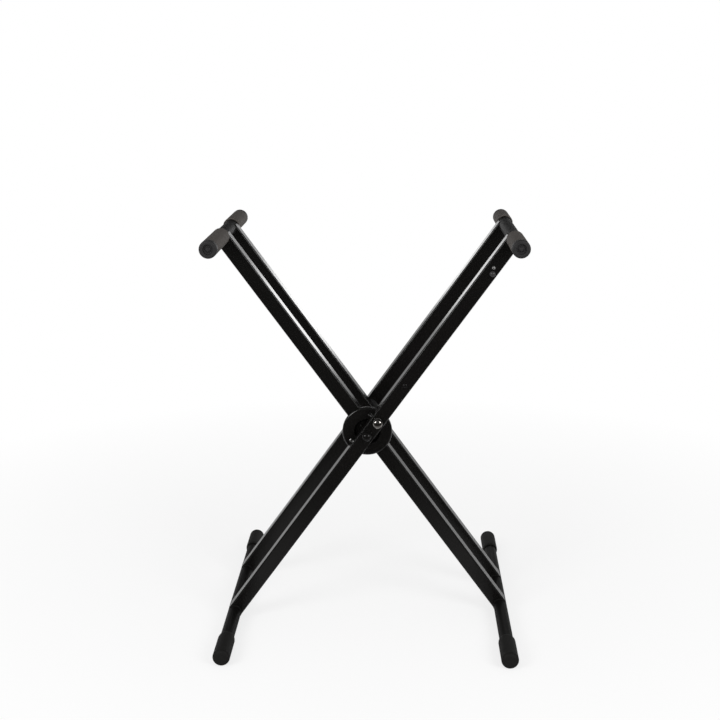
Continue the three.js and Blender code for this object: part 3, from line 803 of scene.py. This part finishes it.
nylon = nylon_finish()
RINGS = {  # CAD node: radius, finish, body, slot
    "front_thrust_spacer": (11, nylon, OUTER, "nylon"),
    "rear_thrust_spacer": (20, nylon, OUTER, "nylon"),
    "front_pivot_bush": (8, nylon, INNER, "nylon"),
    "rear_pivot_bush": (8, nylon, INNER, "nylon"),
    "pivot_spacer_tube": (8.7, bar_paint, INNER, "black_steel"),
}
for node, (radius, finish, body, slot) in RINGS.items():
    keep(f"{node}_ring", ring(BOLT_BORE, radius, node, RING_EDGE), finish, body, slot, node)


# ---- Pivot nut ----------------------------------------------------------------------------------
# A zinc-plated hexagon lock nut at the back of the pivot, with chamfered corners.
# It is turned up only until the legs fold without rattling.
NUT_RADIUS = 9.5 * MM
NUT_CHAMFER = 0.5 * MM
NUT_CHAMFER_SEGMENTS = 3
NUT_DRILL_DEPTH = 40 * MM

nut_front, nut_rear = reach("pivot_nut")
nut = bmesh.new()
bmesh.ops.create_cone(nut, cap_ends=True, segments=6, radius1=NUT_RADIUS, radius2=NUT_RADIUS,
                      depth=(nut_rear - nut_front) * MM)
bmesh.ops.rotate(nut, cent=(0, 0, 0), matrix=TO_Y, verts=nut.verts)
bmesh.ops.bevel(nut, geom=nut.edges[:], offset=NUT_CHAMFER, offset_type="OFFSET", affect="EDGES",
                segments=NUT_CHAMFER_SEGMENTS, profile=0.5, material=-1)
nut_place = Matrix.Translation((0, (nut_front + nut_rear) / 2 * MM, PIVOT.z))
nut_turn = Matrix.Rotation(LEG_TURN["outer"] + math.pi / 6, 4, "Y")
bmesh.ops.transform(nut, matrix=nut_place @ nut_turn, verts=nut.verts)
nut = cut_away(nut, [drill(BOLT_HOLE, NUT_DRILL_DEPTH, (0, nut_front * MM, PIVOT.z))])
keep("hex_pivot_nut", nut, zinc, OUTER, "zinc_steel", "pivot_nut")


# ---- Lock ---------------------------------------------------------------------------------------
# A chromed pull head on a sprung pin that drops into the disc. The domed head stands on a neck,
# and the pin slides in a plated, flanged bush set in the front tube of the outer leg.
HEAD_RADIUS = 9.5
HEAD_DOME = 5
HEAD_DOME_STEPS = 16
HEAD_SKIRT = 4.5
HEAD_SOCKET = 5
HEAD_EDGE = 0.3
NECK_RADIUS = 6.5
NECK_LENGTH = 9
LOCK_BORE = 3.8
FLANGE_RADIUS = 8.6
FLANGE_THICKNESS = 2
BUSH_RADIUS = 6
BUSH_EDGE = 0.25
CHROME = (0.31, 0.293, 0.277, 1)

head_back = reach("lock_head")[1]
head_floor = head_back - HEAD_SOCKET
neck_front = head_back - NECK_LENGTH
head_profile = [
    *dome(HEAD_RADIUS, HEAD_DOME, neck_front - HEAD_SKIRT, HEAD_DOME_STEPS),
    (HEAD_RADIUS, neck_front),
    (NECK_RADIUS, neck_front),
    (NECK_RADIUS, head_back),
    (LOCK_BORE, head_back),
    (LOCK_BORE, head_floor),
    (0, head_floor),
]
head = turned(head_profile, "lock_head", HEAD_EDGE)
chrome = bare_metal("polished_chrome", CHROME, roughness=0.07, brushed=0.03)
keep("chrome_pull_head", head, chrome, "lock_plunger", "chrome", "lock_head")

bush_front, bush_rear = reach("lock_bush")
flange_back = bush_front + FLANGE_THICKNESS
bush_profile = [
    (LOCK_BORE, bush_front),
    (FLANGE_RADIUS, bush_front),
    (FLANGE_RADIUS, flange_back),
    (BUSH_RADIUS, flange_back),
    (BUSH_RADIUS, bush_rear),
    (LOCK_BORE, bush_rear),
]
bush = turned(bush_profile, "lock_bush", BUSH_EDGE)
keep("flanged_lock_bush", bush, zinc, OUTER, "zinc_steel", "lock_bush")

for node in ("lock_pin", "lock_clip"):
    metal_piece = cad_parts[node]
    metal_piece.data.materials.clear()
    metal_piece.data.materials.append(zinc)


# ---- Lock spring --------------------------------------------------------------------------------
# A coil of plated round wire on the pin, between the bush and the clip, inside the tube.
# The coil is built at one length; on the stand it gets shorter by the pin's travel when the head is
# pulled.
SPRING_RADIUS = 5.1 * MM
SPRING_WIRE_RADIUS = 0.45 * MM
SPRING_WIRE_SIDES = 10
SPRING_TURNS = 5
SPRING_TURN_STEPS = 20
LOCK_TRAVEL = 8 * MM

spring_front, spring_rear = (place * MM for place in reach("lock_spring"))
spring_length = spring_rear - spring_front
spring_axis = Vector(axis_of("lock_spring"))
coil_steps = SPRING_TURNS * SPRING_TURN_STEPS
rise_per_step = (spring_length - 2 * SPRING_WIRE_RADIUS) / coil_steps
coil = bmesh.new()
bmesh.ops.create_circle(coil, cap_ends=False, segments=SPRING_WIRE_SIDES, radius=SPRING_WIRE_RADIUS)
bmesh.ops.translate(coil, vec=(SPRING_RADIUS, spring_front + SPRING_WIRE_RADIUS, 0), verts=coil.verts)
bmesh.ops.spin(coil, geom=coil.verts[:] + coil.edges[:], cent=(0, 0, 0), axis=(0, 1, 0),
               dvec=(0, rise_per_step, 0), angle=2 * math.pi * SPRING_TURNS, steps=coil_steps)
bmesh.ops.remove_doubles(coil, verts=coil.verts, dist=SAME_PLACE)
bmesh.ops.holes_fill(coil, edges=[e for e in coil.edges if e.is_boundary])
bmesh.ops.recalc_face_normals(coil, faces=coil.faces)
bmesh.ops.translate(coil, vec=spring_axis, verts=coil.verts)
spring = keep("coiled_lock_spring", coil, zinc, OUTER, "zinc_steel", "lock_spring")
1 - LOCK_TRAVEL / spring_length
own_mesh(spring)
